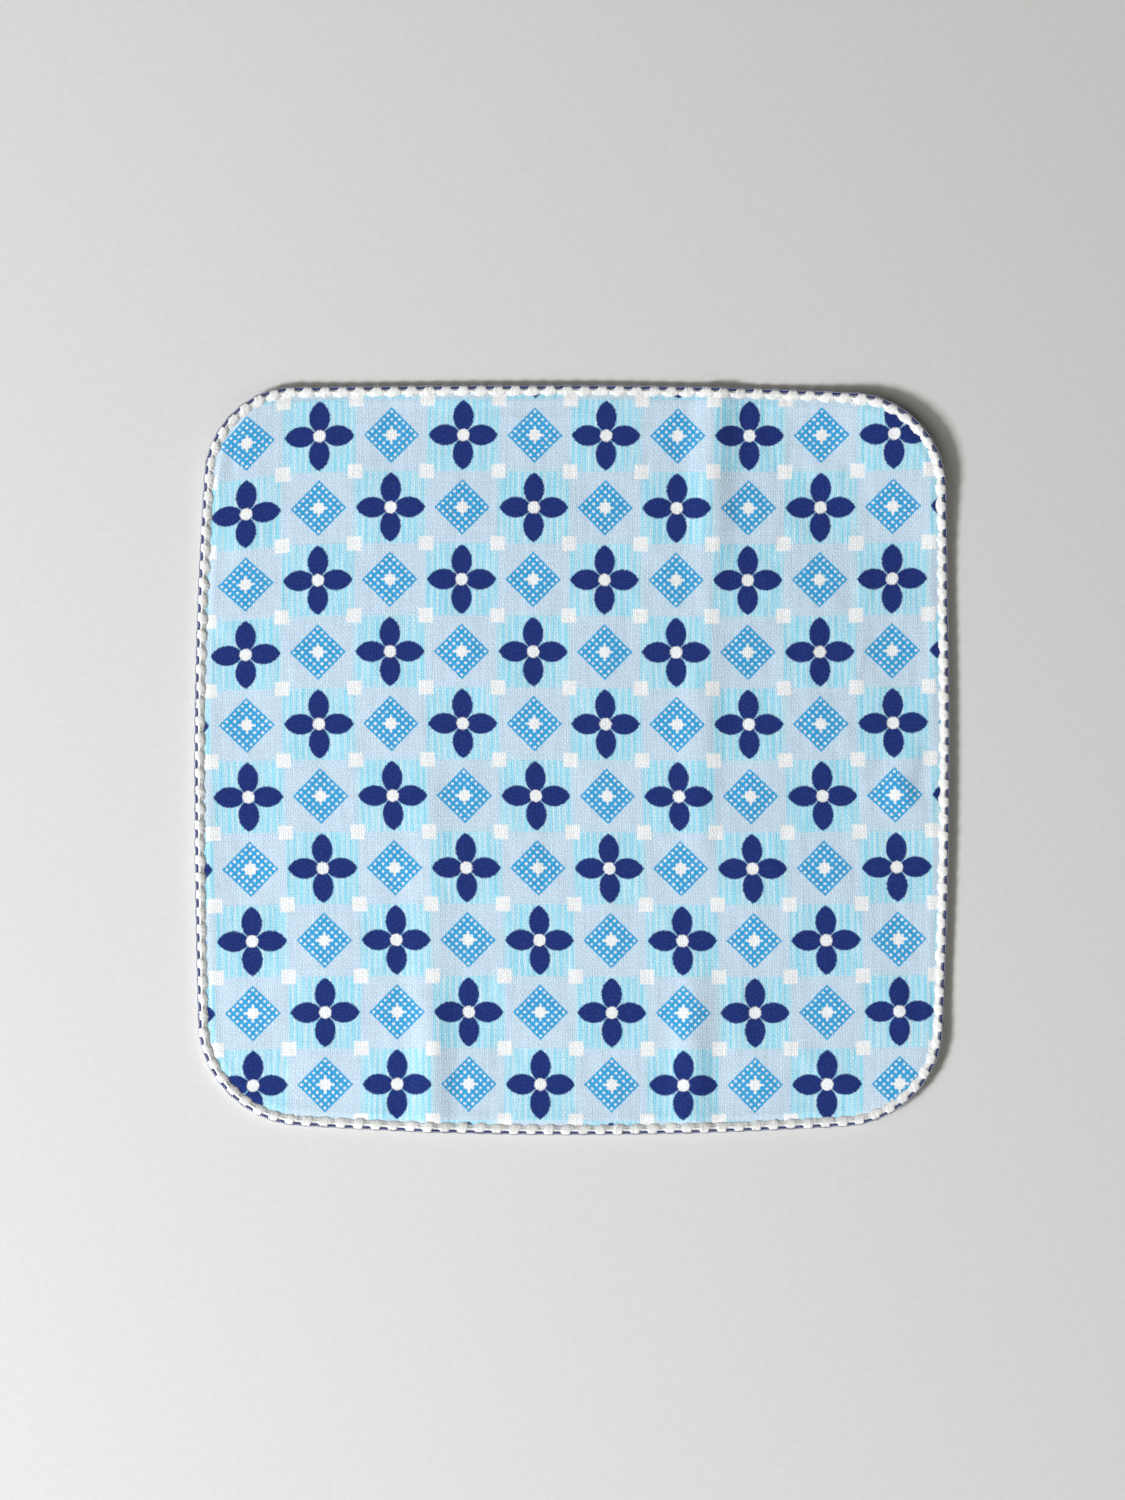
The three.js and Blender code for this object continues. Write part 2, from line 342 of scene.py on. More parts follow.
def make_outline():
    """The outline of the whole as a function of the share of its length, from the near left corner.
    It gives x, y, and the outward normal."""
    half_x = WIDTH / 2 - HEM
    half_y = DEPTH / 2 - HEM
    xs = np.arange(-half_x, half_x, OUTLINE_STEP)
    ys = np.arange(-half_y, half_y, OUTLINE_STEP)
    rim_x = np.concatenate([xs, np.full(len(ys), half_x), -xs, np.full(len(ys), -half_x)])
    rim_y = np.concatenate([np.full(len(xs), -half_y), ys, np.full(len(xs), half_y), -ys])
    x, y = lay(rim_x, rim_y)
    out_x, out_y = normals_of(x, y)
    x, y = x + out_x * HEM, y + out_y * HEM
    x, y = np.append(x, x[0]), np.append(y, y[0])
    length = np.concatenate([[0], np.cumsum(np.hypot(np.diff(x), np.diff(y)))])

    def at(share):
        here = (share % 1) * length[-1]
        ahead = (share % 1 + NORMAL_REACH) % 1 * length[-1]
        behind = (share % 1 - NORMAL_REACH) % 1 * length[-1]
        run_x = np.interp(ahead, length, x) - np.interp(behind, length, x)
        run_y = np.interp(ahead, length, y) - np.interp(behind, length, y)
        run = np.hypot(run_x, run_y)
        return np.interp(here, length, x), np.interp(here, length, y), run_y / run, -run_x / run

    return at, length[-1]


def make_mesh(name, points, faces, smooth=True):
    """An object of the given points, in millimetres, and faces."""
    mesh = bpy.data.meshes.new(name)
    mesh.from_pydata((np.asarray(points) * MM).tolist(), [], faces)
    mesh.validate()
    mesh.polygons.foreach_set("use_smooth", [smooth] * len(mesh.polygons))
    mesh.update()
    piece = bpy.data.objects.new(name, mesh)
    bpy.context.scene.collection.objects.link(piece)
    return piece


class Field:
    """A number that varies over a surface. Sums on it add maths nodes to its material."""

    def __init__(self, tree, socket):
        self.tree = tree
        self.socket = socket

    def math(self, operation, *others):
        node = self.tree.nodes.new("ShaderNodeMath")
        node.operation = operation
        for slot, value in zip(node.inputs, (self, *others)):
            if isinstance(value, Field):
                self.tree.links.new(value.socket, slot)
            else:
                slot.default_value = value
        return Field(self.tree, node.outputs[0])

    def __add__(self, other):
        return self.math("ADD", other)

    def __sub__(self, other):
        return self.math("SUBTRACT", other)

    def __mul__(self, other):
        return self.math("MULTIPLY", other)

    def __truediv__(self, other):
        return self.math("DIVIDE", other)

    def absolute(self):
        return self.math("ABSOLUTE")

    def least(self, other):
        return self.math("MINIMUM", other)

    def most(self, other):
        return self.math("MAXIMUM", other)

    def wave(self, pitch):
        """A cosine of the given pitch."""
        return (self * (2 * math.pi / pitch)).math("COSINE")

    def from_middle(self, pitch):
        """The distance to the middle of the pitch that this falls in, with its sign."""
        return ((self / pitch).math("FRACT") - 0.5) * pitch

    def step(self, low, high):
        """0 below low and 1 above high, with a soft change between."""
        node = self.tree.nodes.new("ShaderNodeMapRange")
        node.interpolation_type = "SMOOTHSTEP"
        self.tree.links.new(self.socket, node.inputs["Value"])
        node.inputs["From Min"].default_value = low
        node.inputs["From Max"].default_value = high
        return Field(self.tree, node.outputs["Result"])

    def inside(self, soft=PRINT_SOFTNESS):
        """1 where this distance is negative and 0 where it is positive."""
        return self.step(soft, -soft)


def hypot(a, b):
    return (a * a + b * b).math("SQRT")


def vector_of(tree, x, y):
    """A vector socket of two numbers."""
    node = tree.nodes.new("ShaderNodeCombineXYZ")
    tree.links.new(x.socket, node.inputs["X"])
    tree.links.new(y.socket, node.inputs["Y"])
    return node.outputs["Vector"]


def cloud(tree, vector, scale=1.0, detail=2.0):
    """Noise from 0 to 1 over a vector."""
    node = tree.nodes.new("ShaderNodeTexNoise")
    tree.links.new(vector, node.inputs["Vector"])
    node.inputs["Scale"].default_value = scale
    node.inputs["Detail"].default_value = detail
    return Field(tree, node.outputs["Fac"])


def mottle(tree, u, v, rates, detail=2.0):
    """Noise from 0 to 1 over u and v. The rates are how fast it changes along each."""
    return cloud(tree, vector_of(tree, u * rates[0], v * rates[1]), detail=detail)


def blend_colours(tree, share, a, b):
    """Colour a where share is 0 and b where it is 1. Each is a colour or a socket."""
    node = tree.nodes.new("ShaderNodeMix")
    node.data_type = "RGBA"
    tree.links.new(share.socket, node.inputs["Factor"])
    for slot, colour in ((node.inputs[6], a), (node.inputs[7], b)):
        if isinstance(colour, tuple):
            slot.default_value = (*colour, 1)
        else:
            tree.links.new(colour, slot)
    return node.outputs[2]


def shade_colour(tree, colour, amount):
    """Colour times amount."""
    node = tree.nodes.new("ShaderNodeVectorMath")
    node.operation = "SCALE"
    if isinstance(colour, tuple):
        node.inputs[0].default_value = colour
    else:
        tree.links.new(colour, node.inputs[0])
    tree.links.new(amount.socket, node.inputs["Scale"])
    return node.outputs["Vector"]


def new_material(name, roughness, sheen=0.0):
    """A matt cloth-like material, its node tree and its shader."""
    material = bpy.data.materials.new(name)
    material.use_nodes = True
    tree = material.node_tree
    shader = tree.nodes["Principled BSDF"]
    shader.inputs["Roughness"].default_value = roughness
    shader.inputs["Specular IOR Level"].default_value = SPECULAR
    shader.inputs["Sheen Weight"].default_value = sheen
    shader.inputs["Sheen Roughness"].default_value = SHEEN_ROUGHNESS
    return material, tree, shader


def add_bump(tree, shader, height, depth):
    """depth is in millimetres for a height from 0 to 1."""
    node = tree.nodes.new("ShaderNodeBump")
    node.inputs["Strength"].default_value = 1.0
    node.inputs["Distance"].default_value = depth * MM
    tree.links.new(height.socket, node.inputs["Height"])
    tree.links.new(node.outputs["Normal"], shader.inputs["Normal"])


def place_in_print(tree):
    """The place in the print, in millimetres along and across the threads."""
    source = tree.nodes.new("ShaderNodeUVMap")
    source.uv_map = "print"
    split = tree.nodes.new("ShaderNodeSeparateXYZ")
    tree.links.new(source.outputs["UV"], split.inputs[0])
    u = (Field(tree, split.outputs["X"]) - 0.5) * PRINT_SPAN
    v = (Field(tree, split.outputs["Y"]) - 0.5) * PRINT_SPAN
    return u, v


def place_on_surface(tree):
    """The place in space, in millimetres, as a vector socket."""
    source = tree.nodes.new("ShaderNodeTexCoord")
    scale = tree.nodes.new("ShaderNodeVectorMath")
    scale.operation = "SCALE"
    scale.inputs["Scale"].default_value = 1 / MM
    tree.links.new(source.outputs["Object"], scale.inputs[0])
    return scale.outputs["Vector"]


def weave_height(tree, u, v):
    """A plain weave, higher on the threads' crowns than in the gaps, with uneven, fuzzy threads."""
    warp = u + (mottle(tree, u, v, RATES["warp_wander"]) - 0.5) * THREAD_WANDER
    weft = v + (mottle(tree, u, v, RATES["weft_wander"]) - 0.5) * THREAD_WANDER
    warp_on_top = warp.wave(2 * WARP_PITCH) * weft.wave(2 * WEFT_PITCH) * 0.5 + 0.5
    weft_on_top = warp_on_top * -1.0 + 1.0
    warp_number = (warp / WARP_PITCH + 0.5).math("FLOOR")
    weft_number = (weft / WEFT_PITCH + 0.5).math("FLOOR")
    warp_weight = mottle(tree, warp_number, v, RATES["warp_weight"]) * HEIGHT_FROM["warp"]
    weft_weight = mottle(tree, u, weft_number, RATES["weft_weight"]) * HEIGHT_FROM["weft"]
    nap = (mottle(tree, u, v, RATES["nap"], detail=3.0) - 0.5) * HEIGHT_FROM["nap"]
    warp_height = (warp.wave(WARP_PITCH) * 0.5 + 0.5) * warp_on_top * warp_weight
    weft_height = (weft.wave(WEFT_PITCH) * 0.5 + 0.5) * weft_on_top * weft_weight
    return warp_height + weft_height + nap + HEIGHT_FROM["base"]


def print_colour(tree, u, v):
    """The print: a check of aqua and pale grey-blue squares, with motifs in navy, blue and white."""
    bleed_u = mottle(tree, u, v, RATES["bleed_u"]) - 0.5
    rate_u, rate_v = RATES["bleed_v"]
    bleed_v = cloud(tree, vector_of(tree, u * rate_u + BLEED_SHIFT, v * rate_v)) - 0.5
    x = u + bleed_u * BLEED
    y = v + bleed_v * BLEED
    in_x = x.from_middle(CHECK)
    in_y = y.from_middle(CHECK)
    far_x = in_x.absolute()
    far_y = in_y.absolute()
    squares = (x / CHECK * math.pi).math("SINE") * (y / CHECK * math.pi).math("SINE")
    is_aqua = squares.step(-CHECK_SOFTNESS, CHECK_SOFTNESS)

    thread_number = (u / WARP_PITCH + bleed_u * PINSTRIPE["bleed"]).math("FLOOR")
    bare = mottle(tree, thread_number, v, RATES["bare"]) - 0.5
    wander = (mottle(tree, u, v, RATES["stripe_wander"]) - 0.5) * PINSTRIPE["wander"]
    stripes = (u + wander).wave(PINSTRIPE["pitch"]) * 0.5 + bare * PINSTRIPE["fade"]
    stripes = stripes.step(PINSTRIPE_TONE["low"], PINSTRIPE_TONE["high"])
    aqua = blend_colours(tree, stripes * PINSTRIPE_TONE["share"], INK["aqua"], INK["white"])
    ground = blend_colours(tree, is_aqua, INK["grey_blue"], aqua)

    dot_x = in_x.from_middle(DOT_PITCH)
    dot_y = in_y.from_middle(DOT_PITCH)
    other_x = (in_x + DOT_PITCH / 2).from_middle(DOT_PITCH)
    other_y = (in_y + DOT_PITCH / 2).from_middle(DOT_PITCH)
    dots = hypot(dot_x, dot_y).least(hypot(other_x, other_y)) - DOT_RADIUS
    dotted = blend_colours(tree, dots.inside(DOT_SOFTNESS), INK["blue"], INK["white"])
    is_grey = is_aqua * -1.0 + 1.0
    lozenge = (far_x + far_y - LOZENGE).inside() * is_grey
    ground = blend_colours(tree, lozenge, ground, dotted)
    lozenge_eye = (far_x + far_y - LOZENGE_EYE).inside() * is_grey

    half_length = PETAL["half_length"]
    half_width = PETAL["half_width"]
    arc = (half_length**2 + half_width**2) / (2 * half_width)
    along = far_x.most(far_y) - PETAL["middle"]
    across = far_x.least(far_y) + (arc - half_width)
    flower = (hypot(along, across) - arc).inside() * is_aqua
    ground = blend_colours(tree, flower, ground, INK["navy"])
    flower_eye = (hypot(far_x, far_y) - FLOWER_EYE).inside() * is_aqua

    knots = (far_x.least(far_y) * -1.0 + (CHECK / 2 - KNOT_SQUARE)).inside()
    white = lozenge_eye.most(flower_eye).most(knots)
    return blend_colours(tree, white, ground, INK["white"])


def face_material():
    """Printed gauze: soft matt cotton with uneven threads, and painted shade in the gaps of its weave."""
    material, tree, shader = new_material("printed_gauze", roughness=0.95, sheen=0.06)
    u, v = place_in_print(tree)
    height = weave_height(tree, u, v)
    warp_streaks = mottle(tree, u, v, RATES["warp_streaks"], detail=3.0) - 0.5
    weft_streaks = mottle(tree, u, v, RATES["weft_streaks"]) - 0.5
    blotches = mottle(tree, u, v, RATES["blotches"]) - 0.5
    # The tone takes in the weave's height as painted shade, so the gaps between threads are darker.
    shade_and_tone = height * SHADE_AND_TONE_FROM["height"] + warp_streaks * SHADE_AND_TONE_FROM["warp"]
    shade_and_tone = shade_and_tone + weft_streaks * SHADE_AND_TONE_FROM["weft"] + blotches * SHADE_AND_TONE_FROM["blotch"] + SHADE_AND_TONE_FROM["base"]
    colour = shade_colour(tree, print_colour(tree, u, v), shade_and_tone)
    flecks = mottle(tree, u, v, RATES["flecks"]).step(FLECKS["low"], FLECKS["high"])
    colour = blend_colours(tree, flecks * FLECKS["share"], colour, INK["white"])
    tree.links.new(colour, shader.inputs["Base Color"])
    add_bump(tree, shader, height + warp_streaks * SHADE_AND_TONE_FROM["warp"], depth=WEAVE_DEPTH)
    return material


def back_material():
    """Short white pile."""
    material, tree, shader = new_material("white_pile", roughness=0.95, sheen=0.25)
    place = place_on_surface(tree)
    loops = cloud(tree, place, scale=1.1, detail=3.0)
    colour = shade_colour(tree, INK["white"], loops * PILE_TONE["loops"] + PILE_TONE["base"])
    tree.links.new(colour, shader.inputs["Base Color"])
    add_bump(tree, shader, loops, depth=0.5)
    return material


def yarn_material(name, colour, fuzz_depth, sheen, roughness=0.9, painted_fibre_shade=0.35, softness=0.0):
    """Soft spun yarn: fine fibres in its surface, with painted shade that darkens its colour where they are
    low. softness is how much of its light passes through the fibres near the surface."""
    material, tree, shader = new_material(name, roughness, sheen)
    shader.inputs["Subsurface Weight"].default_value = softness
    shader.inputs["Subsurface Radius"].default_value = (1, 1, 1)
    shader.inputs["Subsurface Scale"].default_value = YARN_LIGHT_REACH * MM
    place = place_on_surface(tree)
    fibres = cloud(tree, place, scale=3.2, detail=3.0)
    # Painted shade: the colour is darker where the fibres' bump is low, between them.
    shaded = shade_colour(tree, colour, fibres * painted_fibre_shade + (1 - painted_fibre_shade / 2))
    tree.links.new(shaded, shader.inputs["Base Color"])
    add_bump(tree, shader, fibres, depth=fuzz_depth)
    return material


def floor_material():
    """A matt table top with a faint grain."""
    material, tree, shader = new_material("pale_table", roughness=0.85)
    grain = cloud(tree, place_on_surface(tree), scale=0.5, detail=5.0)
    colour = shade_colour(tree, TABLE_COLOUR, grain * TABLE_TONE["grain"] + TABLE_TONE["base"])
    tree.links.new(colour, shader.inputs["Base Color"])
    return material


def sway(name, x):
    """How far one sway of the print moves it at x."""
    size, reach, start = PRINT_SWAYS[name]
    return size * np.sin(x / reach + start)


def print_place(x, y):
    """Where points of the cloth fall in the print, as shares of its span."""
    nearness = np.exp(-(((x - PRINT_DROOP["x"]) / PRINT_DROOP["half"]) ** 2))
    droop = PRINT_DROOP["depth"] * nearness * rise(y, PRINT_DROOP["start_y"], PRINT_DROOP["span_y"])
    u = x * math.cos(PRINT_TURN) + y * math.sin(PRINT_TURN) + sway("along", y) + sway("across", x)
    v = y * math.cos(PRINT_TURN) - x * math.sin(PRINT_TURN) + droop + sway("down", x)
    return u / PRINT_SPAN + 0.5, v / PRINT_SPAN + 0.5


def face_relief(x, y):
    """Height of the finest relief of the face, with the small creases."""
    puckered = rise(x, **PUCKERS_AT_RIGHT) * rise(y, **PUCKERS_AT_FAR)
    puckered = LEAST_PUCKERS + (1 - LEAST_PUCKERS) * puckered
    relief = sum(ripple(x, y, layer) for layer in RELIEF) + puckered * ripple(x, y, PUCKERS)
    from_edge = np.minimum(WIDTH / 2 - np.abs(x), DEPTH / 2 - np.abs(y))
    calm = np.clip((from_edge - RELIEF_FADE["start"]) / RELIEF_FADE["span"], RELIEF_FADE["least"], 1)
    return calm * (relief + swell(CREASES, x, y))


def make_cloth():
    """The sheet: a grid inside the hem line and rows of hem, with the same layout above and below."""
    count_x = round((WIDTH - 2 * HEM) / GRID_STEP) + 1
    count_y = round((DEPTH - 2 * HEM) / GRID_STEP) + 1
    grid_x, grid_y = np.meshgrid(
        np.linspace(HEM - WIDTH / 2, WIDTH / 2 - HEM, count_x),
        np.linspace(HEM - DEPTH / 2, DEPTH / 2 - HEM, count_y),
    )
    x, y = lay(grid_x.ravel(), grid_y.ravel())
    ids = np.arange(count_x * count_y).reshape(count_y, count_x)
    cells = np.stack([ids[:-1, :-1], ids[:-1, 1:], ids[1:, 1:], ids[1:, :-1]], axis=-1).reshape(-1, 4)
    rim = np.concatenate([ids[0, :-1], ids[:-1, -1], ids[-1, :0:-1], ids[:0:-1, 0]])
    top = np.full(len(x), HEM_ROWS[0]["top"])
    bottom = np.full(len(x), HEM_ROWS[0]["bottom"])

    out_x, out_y = normals_of(x[rim], y[rim])
    rim_x, rim_y = x[rim], y[rim]
    inner = rim
    all_cells = [cells]
    for row in HEM_ROWS[1:]:
        outer = len(x) + np.arange(len(rim))
        x = np.append(x, rim_x + out_x * (HEM - row["inset"]))
        y = np.append(y, rim_y + out_y * (HEM - row["inset"]))
        top = np.append(top, np.full(len(rim), row["top"]))
        bottom = np.append(bottom, np.full(len(rim), row["bottom"]))
        all_cells.append(np.stack([inner, outer, np.roll(outer, -1), np.roll(inner, -1)], axis=-1))
        inner = outer
    cells = np.concatenate(all_cells)

    height = lift(x, y)
    top = top + height + face_relief(x, y)
    bottom = bottom + height

    below = len(x)
    points = np.concatenate([np.stack([x, y, top], axis=1), np.stack([x, y, bottom], axis=1)])
    side = np.stack([below + inner, below + np.roll(inner, -1), np.roll(inner, -1), inner], axis=-1)
    faces = np.concatenate([cells, side, (below + cells)[:, ::-1]])
    cloth = make_mesh("gauze_cloth", points, faces.tolist())

    u, v = print_place(points[:, 0], points[:, 1])
    corner_points = np.empty(len(cloth.data.loops), dtype=np.int32)
    cloth.data.loops.foreach_get("vertex_index", corner_points)
    layer = cloth.data.uv_layers.new(name="print")
    layer.data.foreach_set("uv", np.stack([u, v], axis=1)[corner_points].ravel())

    cloth.data.materials.append(face_material())
    cloth.data.materials.append(back_material())
    is_back = np.arange(len(faces)) >= len(cells) + len(side)
    cloth.data.polygons.foreach_set("material_index", is_back.astype(np.int32))

    cut_x, cut_y = x[inner], y[inner]
    area = abs(np.sum(cut_x * np.roll(cut_y, -1) - cut_y * np.roll(cut_x, -1))) / 2 * MM * MM
    flat = (float(np.ptp(cut_x)) * MM, float(np.ptp(cut_y)) * MM)
    return cloth, flat, float(area)


def tube_faces(sections, sides, start):
    """Faces of one tube with closed ends, whose points are in order of section and side."""
    faces = []
    for k in range(sections - 1):
        for side in range(sides):
            a = start + k * sides + side
            b = start + k * sides + (side + 1) % sides
            faces.append((a, b, b + sides, a + sides))
    faces.append(tuple(start + side for side in reversed(range(sides))))
    faces.append(tuple(start + (sections - 1) * sides + side for side in range(sides)))
    return faces


def crown_of(phase):
    """1 on the crown of a lobe and 0 in the waist beside it. phase is a whole number at a crown."""
    return 0.5 + 0.5 * np.cos(2 * math.pi * phase)


def lobe_share(phase):
    """The same with steep sides: the lobes and the waists between them are both flat."""
    t = rise(crown_of(phase), LOBE_SIDES["low"], LOBE_SIDES["span"])
    return t * t * (3 - 2 * t)


def between(name, share):
    """A size of the edging, from its value at a waist to its value at a lobe."""
    return WAIST[name] + (LOBE[name] - WAIST[name]) * share


def ring_faces(stations, sides, start=0):
    """Faces of a closed ring, whose points are in order of station and side."""
    here = np.arange(stations)[:, None] * sides
    ahead = (np.arange(stations)[:, None] + 1) % stations * sides
    side = np.arange(sides)[None, :]
    beside = (side + 1) % sides
    cells = np.stack([here + side, here + beside, ahead + beside, ahead + side], axis=-1)
    return (cells.reshape(-1, 4) + start).tolist()


def noise_at(x, y, z, grain):
    """Noise from -1 to 1 at each point of a grid."""
    return np.array([noise.noise(Vector(p) * grain) for p in zip(x.flat, y.flat, z.flat)]).reshape(x.shape)


def edging_section(lip, toe, crest, foot):
    """The points round the edging's section, from the toe over the top and back below. Each is an inset
    from the outline, a height, and how far ahead the yarn has run there, as a share of its slant."""
    middle = (lip + toe) / 2
    return (
        (toe + 0.30, 1.75, 1.0),
        (toe + 0.02, 2.08, 0.9),
        (toe - 0.45, crest * 0.3 + 1.50, 0.75),
        (toe - 1.10, crest * 0.7 + 0.70, 0.6),
        (middle - 0.1, crest, 0.4),
        (lip + 0.80, crest - 0.04, 0.2),
        (lip + 0.34, crest - 0.28, 0.1),
        (lip + 0.08, crest - 0.68, 0.0),
        (lip + 0.08, 1.72, -0.1),
        ((lip + foot) / 2 + 0.15, 1.22, -0.2),
        (foot, 0.88, -0.3),
        (foot + 0.22, 0.42, -0.4),
        (foot + 0.90, 0.16, -0.5),
        (toe - 1.20, 0.16, -0.7),
        (toe - 0.40, 0.34, -0.8),
        (toe + 0.20, 1.15, -0.9),
    )


def make_edging(outline, total):
    """White yarn wrapped over the cloth's edge, above and below it: a soft band that is drawn up into a
    lobe between stitches. Its section is closed."""
    stations = LOBES * STATIONS_A_LOBE
    share = np.arange(stations) / stations
    phase = share * LOBES
    crown = lobe_share(phase)
    lobe = np.round(phase).astype(int) % LOBES
    curls = [noise.noise(Vector((s * total / CURL["pitch"], CURL["seed"], 0))) for s in share]
    lip = between("lip", crown) + rng.uniform(*LOBE_SPREAD["lip"], LOBES)[lobe] * crown
    toe = between("toe", crown_of(phase)) + rng.uniform(*LOBE_SPREAD["toe"], LOBES)[lobe] * crown
    toe = toe + CURL["height"] * np.array(curls)
    crest = between("crest", crown) + rng.uniform(*LOBE_SPREAD["crest"], LOBES)[lobe] * crown
    foot = between("foot", crown)

    section = edging_section(lip, toe, crest, foot)
    insets = np.stack([point[0] for point in section], axis=1)
    heights = np.stack([np.broadcast_to(point[1], stations) for point in section], axis=1)
    leads = np.array([point[2] for point in section])
    shares = share[:, None] + YARN["slant"] * leads[None, :] / total
    base_x, base_y, out_x, out_y = outline(shares)

    turn_in = np.roll(insets, -1, axis=1) - np.roll(insets, 1, axis=1)
    turn_up = np.roll(heights, -1, axis=1) - np.roll(heights, 1, axis=1)
    length = np.hypot(turn_in, turn_up)
    turns = np.cos(2 * math.pi * YARN["turns_a_lobe"] * phase)[:, None]
    x = base_x - out_x * insets
    y = base_y - out_y * insets
    lumps = noise_at(x, y, heights, YARN_GRAIN["lump"])
    fuzz = noise_at(x, y, heights, YARN_GRAIN["fuzz"])
    from_waist = np.abs(phase % 1 - 0.5)[:, None]
    slit_depth = SLIT["depth"] + SLIT["far_depth"] * rise(base_y, 0, SLIT["far_y"])
    slit = np.exp(-((from_waist / SLIT["half_share"]) ** 2)) * slit_depth
    swollen = YARN["turn"] * turns + YARN["lump"] * lumps + YARN["fuzz"] * fuzz - slit
    insets = insets + swollen * turn_up / length
    heights = heights - swollen * turn_in / length

    x = base_x - out_x * insets
    y = base_y - out_y * insets
    z = np.maximum(heights + lift(x, y), LEAST_HEIGHT)
    points = np.stack([x, y, z], axis=-1).reshape(-1, 3)
    edging = make_mesh("overlocked_edging", points, ring_faces(stations, len(section)))
    # The white yarn's colour is darkened between its fibres as painted shade.
    white_yarn = yarn_material(
        "white_yarn", WHITE_YARN_COLOUR, fuzz_depth=0.12, sheen=0.15, painted_fibre_shade=0.3, softness=0.7
    )
    edging.data.materials.append(white_yarn)
    return edging


def make_thread(name, size, outline, total, materials):
    """Two plies twisted together, which lie at one inset at the lobes and at another between them.
    Each ply has a material of its own."""
    turns = round(total / size["twist"])
    stations = turns * STATIONS_A_TURN
    share = np.arange(stations) / stations
    at_lobe, at_waist = size["insets"]
    inset = at_waist + (at_lobe - at_waist) * crown_of(share * LOBES - THREAD_LAG)
    ply_radius = size["radius"] * size["ply"]
    base_x, base_y, out_x, out_y = outline(share)
    points = []
    faces = []
    for ply in range(2):
        twist = 2 * math.pi * (share * turns + ply / 2)
        swing_in = np.cos(twist) * (size["radius"] - ply_radius)
        swing_up = np.sin(twist) * (size["radius"] - ply_radius)
        rings = []
        for side in range(THREAD_SIDES):
            angle = 2 * math.pi * side / THREAD_SIDES
            away = inset + swing_in + ply_radius * math.cos(angle)
            x = base_x - out_x * away
            y = base_y - out_y * away
            z = size["height"] + swing_up + ply_radius * math.sin(angle) + lift(x, y)
            rings.append(np.stack([x, y, z], axis=1))
        points.append(np.stack(rings, axis=1).reshape(-1, 3))
        faces += ring_faces(stations, THREAD_SIDES, start=ply * stations * THREAD_SIDES)
    thread = make_mesh(name, np.concatenate(points), faces)
    for material in materials:
        thread.data.materials.append(material)
    ply_of_faces = [k * 2 // len(faces) for k in range(len(faces))]
    thread.data.polygons.foreach_set("material_index", ply_of_faces)
    return thread


def make_fluff(name, roots, directions, lengths, material):
    """Short bent fibres, each a thin tube that tapers to its tip."""
    sides = FIBRE["sides"]
    points = []
    faces = []
    for root, direction, length in zip(roots, directions, lengths):
        start = len(points)
        bend = rng.normal(0, FIBRE["bend"], 3)
        across = np.cross(direction, FIBRE["facing"])
        across = across / np.linalg.norm(across)
        up = np.cross(direction, across)
        for reach, width in FIBRE_TAPER:
            centre = root + direction * length * reach + bend * length * reach * reach
            for side in range(sides):
                angle = 2 * math.pi * side / sides
                offset = across * math.cos(angle) + up * math.sin(angle)
                points.append(centre + offset * FIBRE["radius"] * width)
        faces += tube_faces(len(FIBRE_TAPER), sides, start)
    points = np.array(points)
    points[:, 2] = np.maximum(points[:, 2], LEAST_HEIGHT)
    fluff = make_mesh(name, points, faces)
    fluff.data.materials.append(material)
    return fluff


def make_edge_fluff(outline, material):
    """Loose fibres all over the edging, which stand out from it in uneven directions."""
    share = rng.uniform(0, 1, FIBRES)
    crown = lobe_share(share * LOBES)
    spot = rng.uniform(0, 1, FIBRES)
    lip = between("lip", crown)
    toe = between("toe", crown)
    crest = between("crest", crown)
    angle = math.pi * (FIBRE_ARC["start"] + FIBRE_ARC["span"] * spot)
    inset = (lip + toe) / 2 + np.cos(angle) * (toe - lip) / 2 * FIBRE_ARC["width"]
    height = FIBRE_ARC["foot"] + np.sin(angle) * (crest - FIBRE_ARC["drop"])
    base_x, base_y, out_x, out_y = outline(share)
    x = base_x - out_x * inset
    y = base_y - out_y * inset
    roots = np.stack([x, y, height + lift(x, y)], axis=1)
    outward = -np.cos(angle) + rng.normal(0, FIBRE_SPREAD["out"], FIBRES)
    sideways = rng.normal(0, FIBRE_SPREAD["side"], FIBRES)
    upward = np.sin(angle) * FIBRE_LIFT + rng.normal(0, FIBRE_SPREAD["up"], FIBRES)
    directions = np.stack(
        [out_x * outward - out_y * sideways, out_y * outward + out_x * sideways, upward], axis=1
    )
    directions /= np.linalg.norm(directions, axis=1)[:, None]
    lengths = rng.uniform(*FIBRE["lengths"], FIBRES)
    return make_fluff("edge_fluff", roots, directions, lengths, material)


def make_floor():
    """The plain table that the handkerchief lies on."""
    half = TABLE_HALF
    corners = [(-half, -half, 0), (half, -half, 0), (half, half, 0), (-half, half, 0)]
    floor = make_mesh("table_top", corners, [(0, 1, 2, 3)], smooth=False)
    floor.data.materials.append(floor_material())


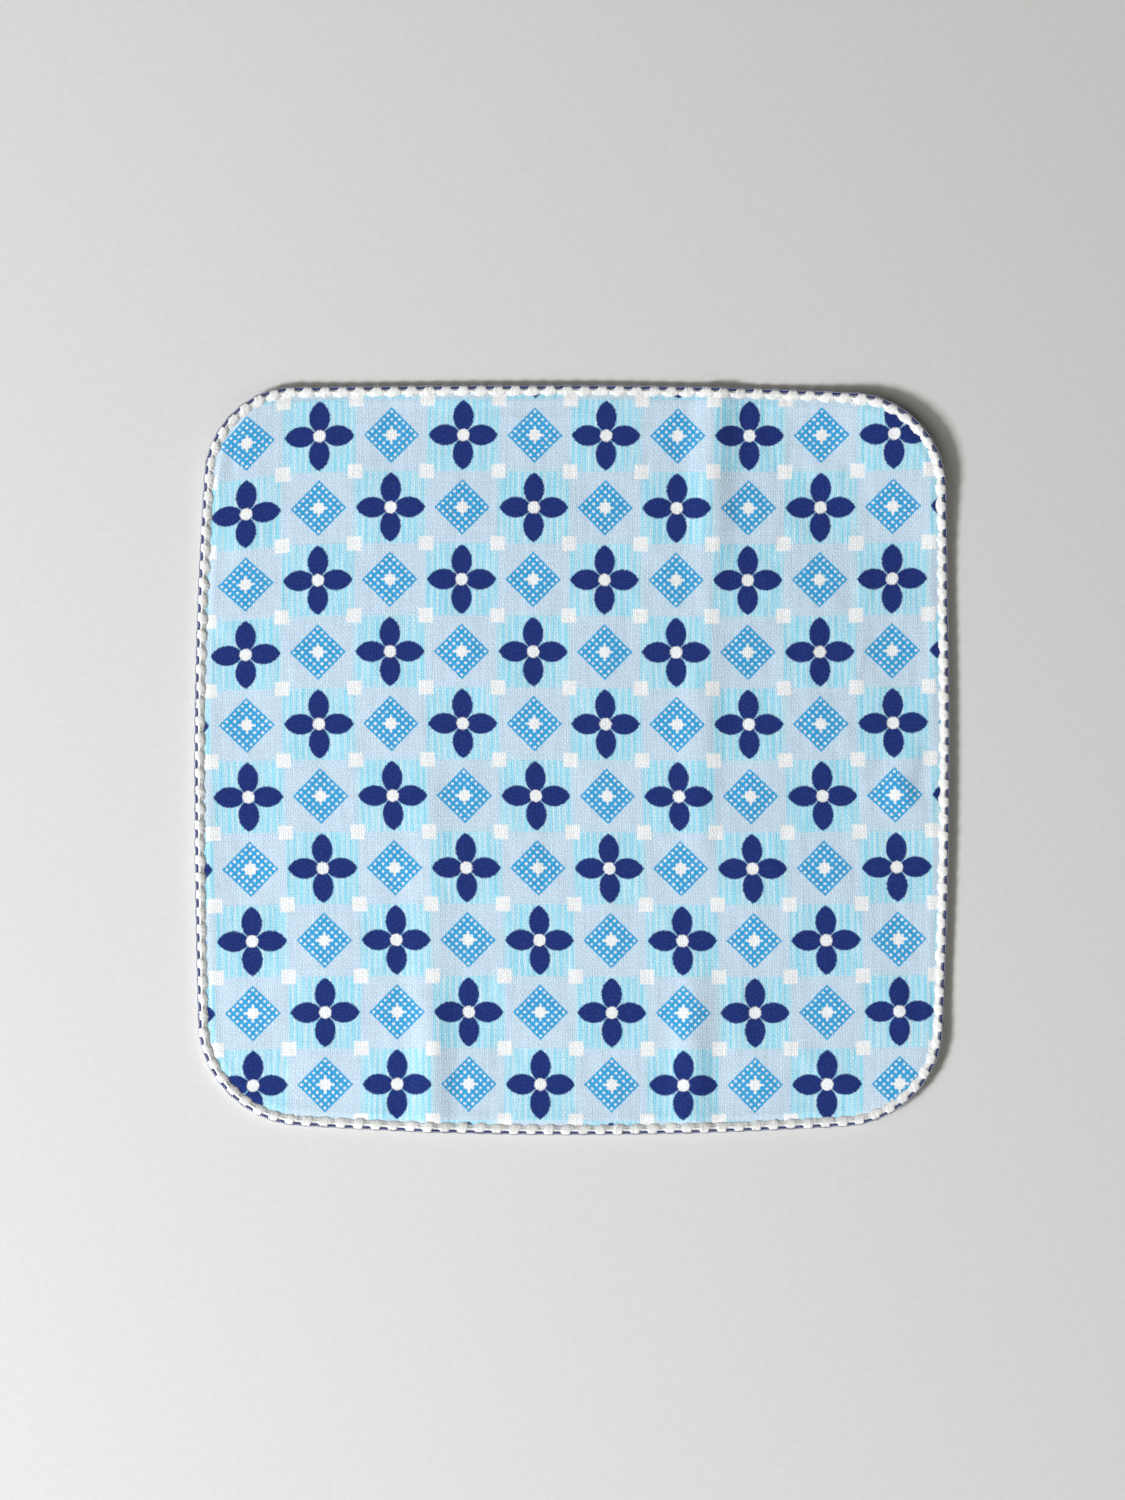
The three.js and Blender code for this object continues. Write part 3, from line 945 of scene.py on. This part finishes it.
def add_area_light(name, place, size, power, colour):
    """A square lamp that faces the origin."""
    light = bpy.data.lights.new(name, "AREA")
    light.size = size
    light.energy = power
    light.color = colour
    lamp = bpy.data.objects.new(name, light)
    lamp.location = place
    lamp.rotation_euler = Vector(place).to_track_quat("Z", "Y").to_euler()
    bpy.context.scene.collection.objects.link(lamp)


def light_scene():
    """A low soft key from the near left, and two wide, warmer fills from the left and near sides."""
    for lamp in LAMPS:
        add_area_light(**lamp)
    world = bpy.data.worlds.new("studio")
    world.use_nodes = True
    background = world.node_tree.nodes["Background"]
    background.inputs["Color"].default_value = (*ROOM_COLOUR, 1)
    background.inputs["Strength"].default_value = ROOM_STRENGTH
    bpy.context.scene.world = world
    bpy.context.scene.view_settings.view_transform = "Standard"


def add_camera():
    """A camera straight above, which takes in the frame's whole height."""
    camera = bpy.data.cameras.new("camera")
    camera.sensor_width = SENSOR
    camera.lens = SENSOR * CAMERA_HEIGHT / FRAME_HEIGHT
    view = bpy.data.objects.new("camera", camera)
    view.location = (CAMERA_OFFSET[0] * MM, CAMERA_OFFSET[1] * MM, CAMERA_HEIGHT * MM)
    bpy.context.scene.collection.objects.link(view)
    bpy.context.scene.camera = view


add_camera()
make_floor()
light_scene()

outline_at, outline_length = make_outline()
cloth, cloth_flat, cloth_area = make_cloth()
edging = make_edging(outline_at, outline_length)
white_yarn = edging.data.materials[0]
navy_yarn = yarn_material("navy_thread", NAVY_THREAD_COLOUR, fuzz_depth=0.08, sheen=0.1, roughness=0.6)
both_navy = (navy_yarn, navy_yarn)
thread = make_thread("twisted_thread", NAVY_THREAD, outline_at, outline_length, both_navy)
white_and_navy = (white_yarn, navy_yarn)
rim_thread = make_thread("rim_thread", RIM_THREAD, outline_at, outline_length, white_and_navy)
fluff = make_edge_fluff(outline_at, white_yarn)
edge_pieces = [edging, thread, rim_thread, fluff]

for piece in [cloth, *edge_pieces]:
    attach(piece, "root")
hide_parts("cloth")
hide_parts("edging")
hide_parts("edge_thread")
